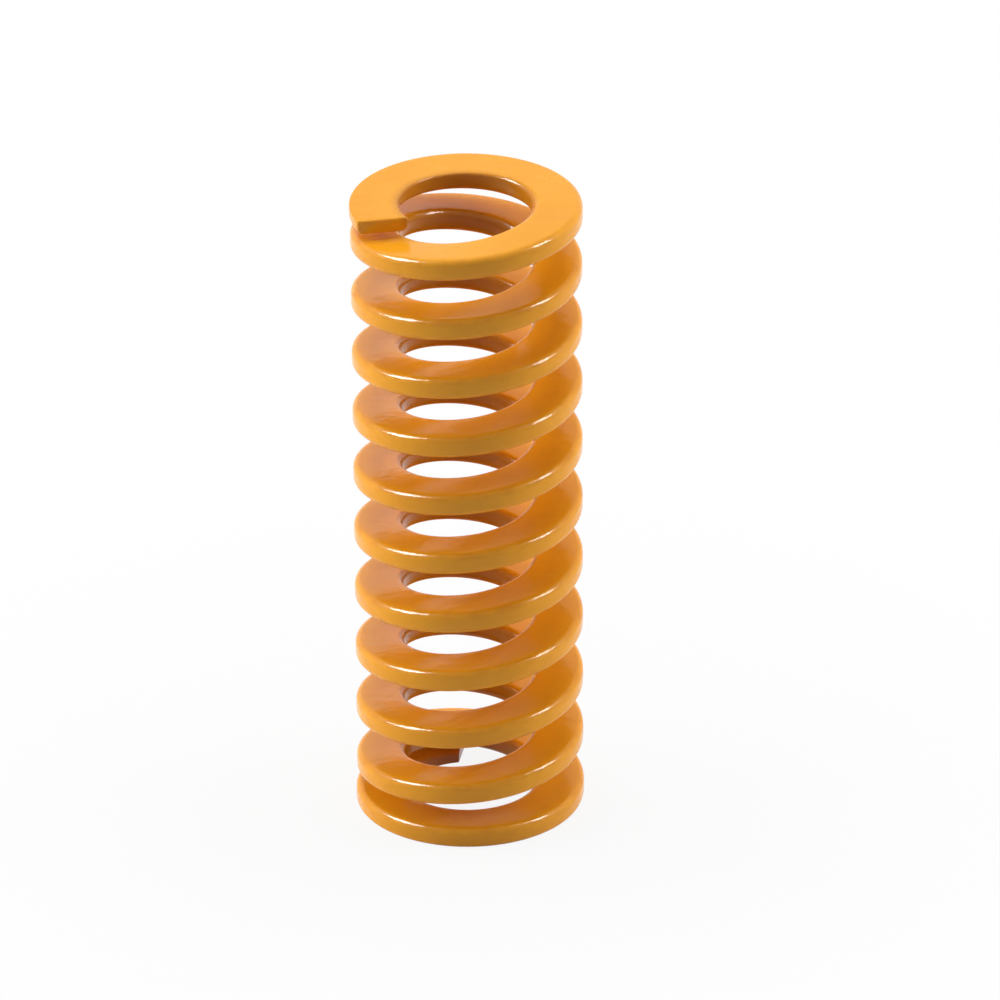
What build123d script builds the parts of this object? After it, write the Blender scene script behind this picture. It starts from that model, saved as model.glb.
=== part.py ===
from build123d import *

import os
from math import cos, pi, radians, sin, tan

# A die spring: one length of flat wire coiled right-handed, with both ends closed and ground flat,
# so that it stands by itself. +Z is its axis, and the origin is the centre of its ground bottom face.

# Driving sizes, in millimetres, turns and degrees.
outer_diameter = 24.4  # runs in a 25 mm pocket
inner_diameter = 14.1  # slides over a 13.5 mm guide rod
free_length = 70.0
total_turns = 11.31  # from one cut end of the wire to the other
wire_height = 2.4  # along the axis, before the ends are ground
wire_corner = 0.55  # radius on the wire's four long edges
tip_thickness = 1.55  # what the grinding leaves of the wire at each cut end
tip_gap = 0.6  # air between each cut end of the wire and the turn next to it
closed_pitch = 1.4  # rise per turn of the end turns, which lie almost flat
lift_turns = 0.2  # the wire climbs from the closed pitch to the full one over this much
first_tip_angle = 94.5  # where the wire starts, seen from above and counted from +X
shear_angle = 15.0  # the cutter leaves the ends of the wire this far from square
edge_break = 0.3  # deburred rims of the two ground faces

# How the solid is made.
stations_per_turn = 12  # sections that carry the wire round
longest_piece = 1.0  # turns lofted in one go
sizing_stock = 0.01  # left on the sides of the end turns, then taken off as they are ground

wire_width = (outer_diameter - inner_diameter) / 2
coil_radius = (outer_diameter + inner_diameter) / 4
tip_height = tip_thickness - wire_height / 2  # of the wire's centre over the ground face
overrun = wire_width * tan(radians(shear_angle)) / (2 * pi * coil_radius)  # turns that the cutter takes

# The end turns stay closed for as long as their tips need to come within the gap of the next turn.
half_turns = total_turns / 2
gap_rise = wire_height + tip_gap - closed_pitch  # that the first whole turn has beyond the closed pitch
body_rise = free_length / 2 - tip_height - closed_pitch * half_turns  # the same for half of the spring
mid_lift = (body_rise - gap_rise * half_turns) / (body_rise - gap_rise)
closed_turns = mid_lift - lift_turns / 2
extra_pitch = body_rise / (half_turns - mid_lift)  # of the open coils, over the closed pitch


def height_from_end(turns):
    """Height of the wire's centre over the nearer ground face, this many turns in from the cut end."""
    climb = min(max((turns - closed_turns) / lift_turns, 0), 1)
    eased = lift_turns * (climb**3 - climb**4 / 2) + max(turns - closed_turns - lift_turns, 0)
    return tip_height + closed_pitch * turns + extra_pitch * eased


def station(turn, turned=0.0):
    """The upright plane across the wire this many turns from its first tip, with X pointing outwards."""
    angle = radians(first_tip_angle) + 2 * pi * turn
    facing = angle - radians(turned)
    if turn < total_turns / 2:
        height = height_from_end(turn)
    else:
        height = free_length - height_from_end(total_turns - turn)
    return Plane(
        origin=(coil_radius * cos(angle), coil_radius * sin(angle), height),
        x_dir=(cos(facing), sin(facing), 0),
        z_dir=(-sin(facing), cos(facing), 0),
    )


def spaced(start, end, longest):
    """Evenly spaced turns from start to end, no further apart than longest."""
    count = int((end - start) / longest) + 1
    return [start + (end - start) * i / count for i in range(count + 1)]


def coil(start, end, stock=False):
    """The wire from one turn to another, with its sides left proud where there is stock on them."""
    with BuildPart() as piece:
        for turn in spaced(start, end, 1 / stations_per_turn):
            with BuildSketch(station(turn)):
                RectangleRounded(wire_width + 2 * sizing_stock, wire_height, wire_corner)
                if not stock:
                    Rectangle(wire_width, wire_height, mode=Mode.INTERSECT)
        loft(clean=False)
    return piece.part


# Grinding reaches along the wire until its underside has climbed clear of the ground face.
ground_turns = next(
    turns for turns in spaced(0, total_turns / 2, 0.01) if height_from_end(turns) > 0.52 * wire_height
)

# The finished spring lies in this tube, between its pocket and its guide rod.
with BuildPart() as envelope:
    with BuildSketch(Plane.XZ) as envelope_wall:
        with Locations((coil_radius, free_length / 2)):
            Rectangle(wire_width, free_length)
        chamfer(envelope_wall.vertices(), edge_break)
    revolve(axis=Axis.Z)

# Each end is coiled with a little stock, sheared off askew at its tip, then ground flat and to size.
with BuildPart() as bottom_end:
    add(coil(-overrun, ground_turns, stock=True))
    with BuildSketch(station(0, turned=shear_angle)):
        Rectangle(2 * wire_width, 2 * wire_width)
    extrude(amount=-wire_width, mode=Mode.SUBTRACT)
    add(envelope.part, mode=Mode.INTERSECT, clean=False)

with BuildPart() as top_end:
    add(coil(total_turns - ground_turns, total_turns + overrun, stock=True))
    with BuildSketch(station(total_turns, turned=shear_angle)):
        Rectangle(2 * wire_width, 2 * wire_width)
    extrude(amount=wire_width, mode=Mode.SUBTRACT)
    add(envelope.part, mode=Mode.INTERSECT, clean=False)

# The open coils between them, lofted about a turn at a time, join the two ends into one wire.
joints = spaced(ground_turns, total_turns - ground_turns, longest_piece)
with BuildPart() as spring:
    open_coils = [coil(start, end) for start, end in zip(joints, joints[1:])]
    add([bottom_end.part, *open_coils, top_end.part], clean=False)

spring.part.label = "spring"
os.makedirs("parts", exist_ok=True)
export_step(spring.part, "parts/spring.step")
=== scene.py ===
# %% [markdown]
# # A die spring in orange enamel
#
# A die spring is a single length of flat steel wire, wound into an open coil. It pushes the parts of a
# press tool apart, so both of its ends are closed and ground flat, and the whole spring is dipped in
# enamel whose colour tells how strong it is.
#
# The measured model is loaded first as a fixed frame. The steps then wind a finer wire on the same path,
# paint it, and light it. Lengths are in metres, as Blender has them, so a millimetre has a name.

# %% The frame and its sizes
import math

import bpy
import numpy as np
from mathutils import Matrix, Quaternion, Vector


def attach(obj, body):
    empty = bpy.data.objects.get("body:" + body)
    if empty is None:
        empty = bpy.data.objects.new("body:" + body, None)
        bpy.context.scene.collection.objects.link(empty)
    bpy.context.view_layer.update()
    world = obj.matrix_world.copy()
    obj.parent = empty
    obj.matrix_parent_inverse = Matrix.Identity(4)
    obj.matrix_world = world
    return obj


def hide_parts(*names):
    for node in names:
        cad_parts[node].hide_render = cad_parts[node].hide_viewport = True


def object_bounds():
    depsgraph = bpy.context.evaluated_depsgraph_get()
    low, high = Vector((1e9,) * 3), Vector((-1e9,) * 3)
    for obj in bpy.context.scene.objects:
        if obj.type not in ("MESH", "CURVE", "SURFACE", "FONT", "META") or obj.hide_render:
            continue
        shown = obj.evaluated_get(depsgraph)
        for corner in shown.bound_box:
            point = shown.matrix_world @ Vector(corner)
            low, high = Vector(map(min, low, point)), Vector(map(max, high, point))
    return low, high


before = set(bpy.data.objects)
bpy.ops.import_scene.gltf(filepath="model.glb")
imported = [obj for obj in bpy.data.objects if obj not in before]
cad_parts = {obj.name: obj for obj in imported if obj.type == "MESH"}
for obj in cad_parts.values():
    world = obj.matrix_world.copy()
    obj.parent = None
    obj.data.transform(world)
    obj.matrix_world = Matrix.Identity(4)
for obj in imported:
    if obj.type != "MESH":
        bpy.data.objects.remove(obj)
cad_low, cad_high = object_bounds()
mm = 0.001

points = np.array([vertex.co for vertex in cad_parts["spring"].data.vertices])
length = cad_high.z
outer_radius = (cad_high.x - cad_low.x) / 2
inner_radius = np.hypot(points[:, 0], points[:, 1]).min()
print(f"the frame is {length / mm:.1f} mm long, and its wire lies from {inner_radius / mm:.2f} "
      f"to {outer_radius / mm:.2f} mm from the axis")

# %% [markdown]
# ## The path of the wire
#
# A plain helix would rise evenly from end to end. The real wire lies almost flat for part of a turn at
# each end, then climbs within a fifth of a turn to the full pitch. A curve with a bevel could follow
# such a path, but its section would tip over with the slope, and it couldn't be ground flat. So the
# height of the wire is a function of how many turns of it have been wound, and the mesh is built from
# sections that always stand upright.

# %% How high the wire lies over the nearer end
turns = 11.31
wire_height = 2.4 * mm
tip_height = 1.55 * mm - wire_height / 2  # of the wire's centre at a cut end, over the ground face
closed_pitch = 1.4 * mm
closed_turns = 0.6
lift_turns = 0.2
open_rise = length / 2 - tip_height - closed_pitch * turns / 2
extra_pitch = open_rise / (turns / 2 - closed_turns - lift_turns / 2)


def rise_from_end(turn):
    """Height of the wire's centre over the nearer ground face, so many turns in from the cut end."""
    climb = np.clip((turn - closed_turns) / lift_turns, 0, 1)
    eased = lift_turns * (climb**3 - climb**4 / 2)
    steady = np.maximum(turn - closed_turns - lift_turns, 0)
    return tip_height + closed_pitch * turn + extra_pitch * (eased + steady)


print(f"the coils rise {(closed_pitch + extra_pitch) / mm:.2f} mm a turn between the closed ends")

# %% [markdown]
# A coiling machine never winds quite evenly, and equal gaps are what makes a modelled spring look
# drawn. Random bumps would look like damage, because stiff wire can't change its slope quickly. Three
# slow waves along the whole wire are enough, and they fade out at the ends so that these stay true.

# %% Slow waves in the rise
wave_heights = (0.30 * mm, 0.20 * mm, 0.15 * mm)  # with one, two and three half-waves along the wire
wave_fade = 0.7  # turns from each cut end before the waves are at their full height


def wire_height_at(turn):
    """Height of the wire's centre over the floor, with the unevenness that winding leaves in it."""
    from_end = np.minimum(turn, turns - turn)
    rise = rise_from_end(from_end)
    even = np.where(turn < turns / 2, rise, length - rise)
    along = math.pi * turn / turns
    waves = sum(height * np.sin(count * along) for count, height in enumerate(wave_heights, start=1))
    return even - waves * np.clip(from_end / wave_fade, 0, 1) ** 2


print(f"the middle of the wire lies at {wire_height_at(turns / 2) / mm:.2f} mm")

# %% [markdown]
# ## The section of the wire
#
# The wire is a flat bar with rounded long edges. Where an end is ground, the section loses some of its
# height, and the stone leaves a smaller rounding along the rim. Four arcs with straight runs between
# them make every section, so the whole spring has one regular grid of points, and a face never folds.

# %% One section for each station along the wire
wire_width = outer_radius - inner_radius
arc_points = 9
run_points = (5, 3)  # inside each straight run: across the wire, and up or down its sides


def sections(low, high, low_corner, high_corner):
    """Outlines as (outward, up) points, a row for each station, anticlockwise from the upper outer edge."""
    side = np.full_like(low, wire_width / 2)
    corners = [
        (side - high_corner, high - high_corner, high_corner),
        (high_corner - side, high - high_corner, high_corner),
        (low_corner - side, low + low_corner, low_corner),
        (side - low_corner, low + low_corner, low_corner),
    ]
    arcs = []
    for quarter, (across, up, radius) in enumerate(corners):
        bend = np.linspace(quarter, quarter + 1, arc_points) * math.pi / 2
        arcs.append(np.stack([
            across[:, None] + radius[:, None] * np.cos(bend),
            up[:, None] + radius[:, None] * np.sin(bend),
        ], axis=-1))
    rows = []
    for quarter, arc in enumerate(arcs):
        following = arcs[(quarter + 1) % 4]
        count = run_points[quarter % 2]
        share = (np.arange(1, count + 1) / (count + 1))[None, :, None]
        rows += [arc, arc[:, -1:] * (1 - share) + following[:, :1] * share]
    return np.concatenate(rows, axis=1)


def edge_share():
    """How far each point of a section lies round one of its rounded edges, from 0 on a flat to 1."""
    arc = np.sin(np.linspace(0, math.pi, arc_points))
    return np.concatenate([np.concatenate([arc, np.zeros(run_points[q % 2])]) for q in range(4)])


print(f"a section has {len(edge_share())} points")

# %% [markdown]
# ## Where the sections stand
#
# Sections about a hundredth of a turn apart make a coil look smooth from close by. The wire was cut off
# at each tip, and the cut has a small worn rim. A bevel could round it, but would break up the grid, so
# a few more sections stand close together there and shrink towards their middle as they reach the tip.

# %% Stations along the wire
stations_per_turn = 96
rim_stations = 5
cut_rim = 0.18 * mm  # radius of the worn rim

mid_radius = (outer_radius + inner_radius) / 2
rim_turns = cut_rim / (2 * math.pi * mid_radius)
rim_angles = np.linspace(0, math.pi / 2, rim_stations)
rim_in = rim_turns * (1 - np.sin(rim_angles))  # turns short of the tip, with the tip last
along_wire = np.linspace(rim_turns, turns - rim_turns, int(turns * stations_per_turn))
stations = np.concatenate([rim_in[::-1], along_wire[1:-1], turns - rim_in])
shrink = np.zeros_like(stations)
shrink[:rim_stations] = cut_rim * (1 - np.cos(rim_angles[::-1]))
shrink[-rim_stations:] = cut_rim * (1 - np.cos(rim_angles))
print(f"{len(stations)} sections stand along the wire")

# %% [markdown]
# ## Grinding the ends
#
# The grinding stone takes off all that stands past a flat plane, so the wire gets thinner towards its
# tips. A Boolean cut would do that too, but leaves a sharp rim and long thin faces. Here each section is
# held inside the planes before its outline is drawn, and its rounding gets smaller as the cut gets
# deeper, so the rim runs out softly into the wire's own long edge.

# %% Sections with the ground ends taken off
wire_corner = 0.72 * mm
ground_rim = 0.22 * mm
deep_cut = 0.4 * mm  # from this depth on, the rim has its own small rounding

centre = wire_height_at(stations)
below = centre - wire_height / 2
above = centre + wire_height / 2
low_cut = np.clip(-below / deep_cut, 0, 1)
high_cut = np.clip((above - length) / deep_cut, 0, 1)
outline = sections(
    np.maximum(below, 0),
    np.minimum(above, length),
    wire_corner + (ground_rim - wire_corner) * low_cut,
    wire_corner + (ground_rim - wire_corner) * high_cut,
)
across, up = outline[..., 0], outline[..., 1]
middle = (up.max(axis=1) + up.min(axis=1))[:, None] / 2
half_height = (up.max(axis=1) - up.min(axis=1))[:, None] / 2
print(f"the wire is {2 * half_height.min() / mm:.2f} mm thick where the grinding took off most")

across = across * (1 - shrink[:, None] / (wire_width / 2))
up = middle + (up - middle) * (1 - shrink[:, None] / half_height)

# %% [markdown]
# ## Winding the sections round the axis
#
# Each station gives its section an angle round the axis. The cutter went through the wire a little
# askew, so near the tips the sections lean round the axis, more the further out a point is. The open
# coils of the real spring are slightly slimmer than its ends, so the wire draws in a little over the
# first turn.

# %% From sections to places
first_tip = math.radians(94.5)  # where the wire starts, counted from +X
cut_skew = math.tan(math.radians(15))
skew_turns = 0.06  # over which the sections come upright again
waist = 0.1 * mm
waist_turns = 1.2  # from each tip before the coils are at their slimmest

from_tip = np.minimum(stations, turns - stations)
tight = waist * np.clip(from_tip / waist_turns, 0, 1) ** 2
radius = mid_radius - tight[:, None] + across
lean = -across * cut_skew * np.clip(1 - from_tip / skew_turns, 0, 1)[:, None] / radius
angle = first_tip + 2 * math.pi * stations[:, None] + lean
places = np.stack([radius * np.cos(angle), radius * np.sin(angle), up], axis=-1)
print(f"the open coils are {2 * (radius.max() - waist) / mm:.1f} mm across")

# %% [markdown]
# ## One skin
#
# The places form a grid, with a row for each station. Quads join each row to the next, and the last
# point of a row to its first. A single face caps each cut end. That closes the wire into one watertight
# skin, as one real piece of wire has.

# %% The mesh
rows, columns = up.shape
index = np.arange(rows * columns).reshape(rows, columns)
turned = np.roll(index, -1, axis=1)
quads = np.stack([index[:-1], index[1:], turned[1:], turned[:-1]], axis=-1).reshape(-1, 4)
caps = [index[0].tolist(), index[-1][::-1].tolist()]

mesh = bpy.data.meshes.new("spring_wire")
mesh.from_pydata(places.reshape(-1, 3).tolist(), [], quads.tolist() + caps)
mesh.polygons.foreach_set("use_smooth", [True] * len(mesh.polygons))
print(f"the wire has {len(mesh.vertices)} points and {len(mesh.polygons)} faces")

# %% [markdown]
# ## Telling the paint where it is
#
# Enamel wears on edges and shows the marks of the stone on ground faces, and the inside of the coil is
# darkened with painted shade. The grid knows which points those are, so it keeps three numbers for each
# point, which the paint reads later. That is surer than guessing an edge from the shape while it is
# rendered.

# %% Numbers kept on the mesh, and the finished piece
ground_depth = 0.05 * mm  # how near to a ground plane a point has to be to count as ground
bore_share = 0.8  # of the way to the bore side, where the inside begins


def keep(name, values):
    """Keep one number from 0 to 1 for each point of the mesh."""
    kept = mesh.attributes.new(name, "FLOAT", "POINT")
    kept.data.foreach_set("value", np.clip(values, 0, 1).astype(np.float32))


heights = up.reshape(-1)
bore_side = -across.reshape(-1) / (wire_width / 2)
keep("edge", np.tile(edge_share(), rows))
keep("ground", 1 - np.minimum(heights, length - heights) / ground_depth)
# painted shade: this marks the bore side of the wire, where the paint darkens the colour
keep("inside", (bore_side - bore_share) / (1 - bore_share))
mesh.validate()
mesh.update()

spring = bpy.data.objects.new("spring_wire", mesh)
bpy.context.scene.collection.objects.link(spring)
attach(spring, "root")
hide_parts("spring")
print(f"{spring.name} knows which of its {rows * columns} points lie on edges, on ground faces and inside")

# %% [markdown]
# ## Writing shaders as sums
#
# A finish is easier to read as arithmetic than as a web of nodes. One class stands for a node's output,
# and adds Math nodes when it is added to, taken away or multiplied. Another adds every other node, with
# its settings first and then its sockets. Colours are mixed by a Mix node, because a Math node would
# turn them grey.

# %% A value that adds its own Math nodes
class Value:
    """One output of a node. Arithmetic on it adds Math nodes to the same tree."""

    def __init__(self, tree, socket):
        self.tree = tree
        self.socket = socket

    def worked_out(self, operation, first, second, clamped=False):
        """What a new Math node makes of two values."""
        settings = {"operation": operation, "use_clamp": clamped}
        return self.tree.node("ShaderNodeMath", settings, {0: first, 1: second})

    def __add__(self, other):
        return self.worked_out("ADD", self, other)

    def __sub__(self, other):
        return self.worked_out("SUBTRACT", self, other)

    def __rsub__(self, other):
        return self.worked_out("SUBTRACT", other, self)

    def __mul__(self, other):
        return self.worked_out("MULTIPLY", self, other)

    __radd__ = __add__
    __rmul__ = __mul__

    def clamped(self):
        """The same value, kept from 0 to 1."""
        return self.worked_out("ADD", self, 0, clamped=True)


print("values can be added, taken away and multiplied")


# %% A tree that adds every other node
class ShaderTree:
    """The nodes of one material or world, which starts empty."""

    def __init__(self, owner):
        owner.use_nodes = True
        self.tree = owner.node_tree
        self.tree.nodes.clear()

    def node(self, kind, settings, sockets, output=0):
        """A new node, with its settings set first and then each socket's value or link."""
        made = self.tree.nodes.new(kind)
        for name, setting in settings.items():
            setattr(made, name, setting)
        for name, given in sockets.items():
            if isinstance(given, Value):
                self.tree.links.new(given.socket, made.inputs[name])
            else:
                made.inputs[name].default_value = given
        return Value(self, made.outputs[output]) if len(made.outputs) else None

    def mix(self, share, first, second):
        """A colour that goes from the first to the second as the share goes from 0 to 1."""
        colour_sockets = {0: share, 6: first, 7: second}  # 1 to 5 are for mixing numbers and vectors
        return self.node("ShaderNodeMix", {"data_type": "RGBA"}, colour_sockets, output=2)

    def noise(self, place, scale, detail):
        """A cloudy value round 0.5, with about this many clouds a metre."""
        return self.node("ShaderNodeTexNoise", {}, {"Vector": place, "Scale": scale, "Detail": detail})

    def on_mesh(self, name):
        """A number that the mesh keeps for each of its points."""
        return self.node("ShaderNodeAttribute", {"attribute_name": name}, {}, "Fac")


print("shader trees are written as arithmetic")

# %% [markdown]
# ## Patterns in the enamel
#
# The spring is dipped, so one glossy coat covers every side of the wire and the ground ends too. Enamel
# isn't one flat colour. It pools on the flats and draws thin over the rounded edges, and it dries with a
# faint ripple called orange peel, which breaks a highlight into beads. The stone's marks show through it
# on the ground faces. Noise in the object's own space gives all of this without any picture, so it has
# no seam, and a multiplied and lowered noise leaves only the tops of its clouds, as patches or specks.

# %% Pools, specks, wear, ripple and marks
coat = bpy.data.materials.new("orange_enamel")
enamel = ShaderTree(coat)
own_space = enamel.node("ShaderNodeTexCoord", {}, {}, "Object")
aside_of_faces = (0.0131, 0.0072, 0.0033)  # keeps the flat faces off the noise's own grid of planes
place = enamel.node("ShaderNodeVectorMath", {"operation": "ADD"}, {0: own_space, 1: aside_of_faces})

pooling = (enamel.noise(place, 130, 3.0) * 2.4 - 0.7).clamped()
speck = (enamel.noise(place, 2630, 1.0) * 9 - 6.6).clamped()
worn = (enamel.noise(place, 420, 3.0) * 3.0 - 1.2).clamped() * enamel.on_mesh("edge")
peel = enamel.noise(place, 820, 1.5)
grain = enamel.noise(place, 3470, 2.0)

across_marks = (260, 3400, 260)  # clouds a metre, so they are drawn out along X and Z
stroke = enamel.node("ShaderNodeVectorMath", {"operation": "MULTIPLY"}, {0: place, 1: across_marks})
on_ground = enamel.on_mesh("ground")
marks = enamel.noise(stroke, 1.0, 2.0) * on_ground
print(f"the patterns take {len(coat.node_tree.nodes)} nodes")

# %% [markdown]
# ## Orange enamel
#
# The steel below makes thin enamel deeper in colour. The inside of the coil is painted darker, as painted
# shade where little light reaches. The base is one orange that each pattern pulls some way towards another.
# A clear coat over it isn't needed, because enamel is glossy by itself, and a low gloss keeps the white of
# the room from paling the colour on faces that are seen askew.

# %% The coat
orange = (0.81, 0.340, 0.012, 1)
deep_orange = (0.71, 0.268, 0.008, 1)
thin_orange = (0.57, 0.18, 0.007, 1)
# painted shade for the inside of the coil, not a colour of the enamel
shaded_orange = (0.40, 0.138, 0.008, 1)
pale_speck = (0.90, 0.47, 0.10, 1)
ripple_depth = 0.05 * mm

colour = enamel.mix(pooling * 0.5, orange, deep_orange)
# painted shade: the bore side of the wire is pulled towards a darker orange
colour = enamel.mix(enamel.on_mesh("inside") * 0.75, colour, shaded_orange)
colour = enamel.mix(worn * 0.45, colour, thin_orange)
colour = enamel.mix(speck * 0.35, colour, pale_speck)
roughness = 0.10 + 0.10 * grain + 0.12 * on_ground + 0.05 * pooling
ripple = peel + 0.16 * grain + 0.16 * marks
bump_sockets = {"Strength": 1.0, "Distance": ripple_depth, "Height": ripple}
shader = enamel.node("ShaderNodeBsdfPrincipled", {}, {
    "Base Color": colour,
    "Roughness": roughness,
    "Specular IOR Level": 0.24,
    "Normal": enamel.node("ShaderNodeBump", {}, bump_sockets, "Normal"),
})
enamel.node("ShaderNodeOutputMaterial", {}, {"Surface": shader})
mesh.materials.append(coat)
print(f"the coat has {len(coat.node_tree.nodes)} nodes")

# %% [markdown]
# ## A white floor
#
# The spring stands on a plain white floor. The floor is a real surface, so that it throws light up under
# the coils and keeps their shadow. A ray from the camera, or one that glances off the enamel, sees it
# lifted towards pure white, and further off it goes over into the white of the room.

# %% The floor
floor_size = 3.0
air_under = 0.02 * mm  # keeps the ground end and the floor from lying in one plane
paper_white = (0.60, 0.60, 0.60, 1)
white = (1, 1, 1, 1)

edge_place = floor_size / 2
floor_corners = [(-edge_place, -edge_place, 0), (edge_place, -edge_place, 0),
                 (edge_place, edge_place, 0), (-edge_place, edge_place, 0)]
floor_mesh = bpy.data.meshes.new("floor")
floor_mesh.from_pydata(floor_corners, [], [(0, 1, 2, 3)])
floor = bpy.data.objects.new("floor", floor_mesh)
floor.location.z = cad_low.z - air_under
bpy.context.scene.collection.objects.link(floor)


def seen_directly(tree):
    """1 for rays that show a thing as it is, straight, in a gloss or through glass, and 0 for others."""
    kinds = ["Is Camera Ray", "Is Glossy Ray", "Is Transmission Ray"]
    camera, glossy, through = [tree.node("ShaderNodeLightPath", {}, {}, kind) for kind in kinds]
    return (camera + glossy + through).clamped()


paper = bpy.data.materials.new("white_paper")
sheet = ShaderTree(paper)
from_spring = sheet.node("ShaderNodeNewGeometry", {}, {}, "Position")
distance = sheet.node("ShaderNodeVectorMath", {"operation": "LENGTH"}, {0: from_spring}, "Value")
lift = (0.88 + 1.4 * distance).clamped() * seen_directly(sheet)
matt = sheet.node("ShaderNodeBsdfDiffuse", {}, {"Color": paper_white})
lit = sheet.node("ShaderNodeEmission", {}, {"Color": white, "Strength": 1.0})
surface = sheet.node("ShaderNodeMixShader", {}, {0: lift, 1: matt, 2: lit})
sheet.node("ShaderNodeOutputMaterial", {}, {"Surface": surface})
floor_mesh.materials.append(paper)
print(f"the floor is {floor_size:.0f} m wide")

# %% [markdown]
# ## A white room
#
# The world shows pure white behind the spring and in its gloss. As plain light it is almost off. Light
# that comes evenly from all round would fill the deep shadows between the coils, and they are what makes
# the spring look solid.

# %% The world
ambient = 0.04
world = bpy.data.worlds.new("white_room")
bpy.context.scene.world = world
room = ShaderTree(world)
strength = ambient + (1 - ambient) * seen_directly(room)
background = room.node("ShaderNodeBackground", {}, {"Color": white, "Strength": strength})
room.node("ShaderNodeOutputWorld", {}, {"Surface": background})
print(f"the room gives {ambient} of plain light")

# %% [markdown]
# ## Lamps
#
# Broad soft panels stand on both sides of the spring and over it. None stands beside the camera, so the
# sides that face it stay the deepest orange. The long glints on the rounded edges are pictures of two
# bright strips, one on each side and a little above the spring. On so small a rounding a strip has to
# be very bright to be seen at all, and it would flood the flats with light. So the strips are seen only
# in the gloss. The panels are hidden from the gloss, as they would turn the flats white from the side,
# and they alone give the level of light.

# %% Panels and strips
aim = Vector((0, 0, length / 2))


def lamp(name, place, width, height, watts, gloss_only=False):
    """A flat lamp that faces the middle of the spring."""
    light = bpy.data.lights.new(name, "AREA")
    light.shape = "RECTANGLE"
    light.size = width
    light.size_y = height
    light.energy = watts
    holder = bpy.data.objects.new(name, light)
    holder.location = aim + Vector(place)
    holder.rotation_mode = "QUATERNION"
    holder.rotation_quaternion = (-Vector(place)).to_track_quat("-Z", "Y")
    holder.visible_camera = False
    holder.visible_diffuse = not gloss_only
    holder.visible_glossy = gloss_only
    bpy.context.scene.collection.objects.link(holder)
    return holder


panels = [
    lamp("left_panel", (-0.56, -0.05, 0.15), 0.45, 0.45, 2.8),
    lamp("left_back_panel", (-0.50, 0.25, 0.22), 0.40, 0.40, 1.9),
    lamp("right_panel", (0.56, -0.04, 0.17), 0.45, 0.45, 2.2),
    lamp("right_back_panel", (0.50, 0.22, 0.28), 0.40, 0.40, 1.3),
    lamp("top_panel", (0.0, 0.15, 0.60), 0.60, 0.50, 2.9),
]
strips = [
    lamp("left_strip", (-0.33, 0.00, 0.31), 0.18, 0.20, 6.2, gloss_only=True),
    lamp("right_strip", (0.33, -0.04, 0.31), 0.10, 0.18, 2.3, gloss_only=True),
]
print(f"{len(panels)} panels light the spring, and {len(strips)} strips glint on its edges")

# %% [markdown]
# ## The camera
#
# A long lens from far off shows the coils almost without perspective, as product pictures do. It looks
# down by a little over a quarter of a right angle, so the top face shows as an open ring. The camera is
# moved sideways rather than shifted, which keeps the spring in the middle of any other view.

# %% Setting up the camera
looking_down = math.radians(26.77)
tilt = math.radians(-0.364)
camera_distance = 1.098
aside, higher = 3.35 * mm, 0.21 * mm

camera_data = bpy.data.cameras.new("camera")
camera_data.sensor_width = 36
camera_data.lens = 374.3
camera_data.clip_start = 0.05
camera_data.clip_end = 20

camera = bpy.data.objects.new("camera", camera_data)
bpy.context.scene.collection.objects.link(camera)
forward = Vector((0, math.cos(looking_down), -math.sin(looking_down)))
turn = forward.to_track_quat("-Z", "Y") @ Quaternion((0, 0, 1), tilt)
camera.rotation_mode = "QUATERNION"
camera.rotation_quaternion = turn
camera.location = aim + turn @ Vector((aside, higher, 0)) - forward * camera_distance
bpy.context.scene.camera = camera
bpy.context.scene.view_settings.view_transform = "Standard"
print(f"the camera stands {camera_distance} m away")
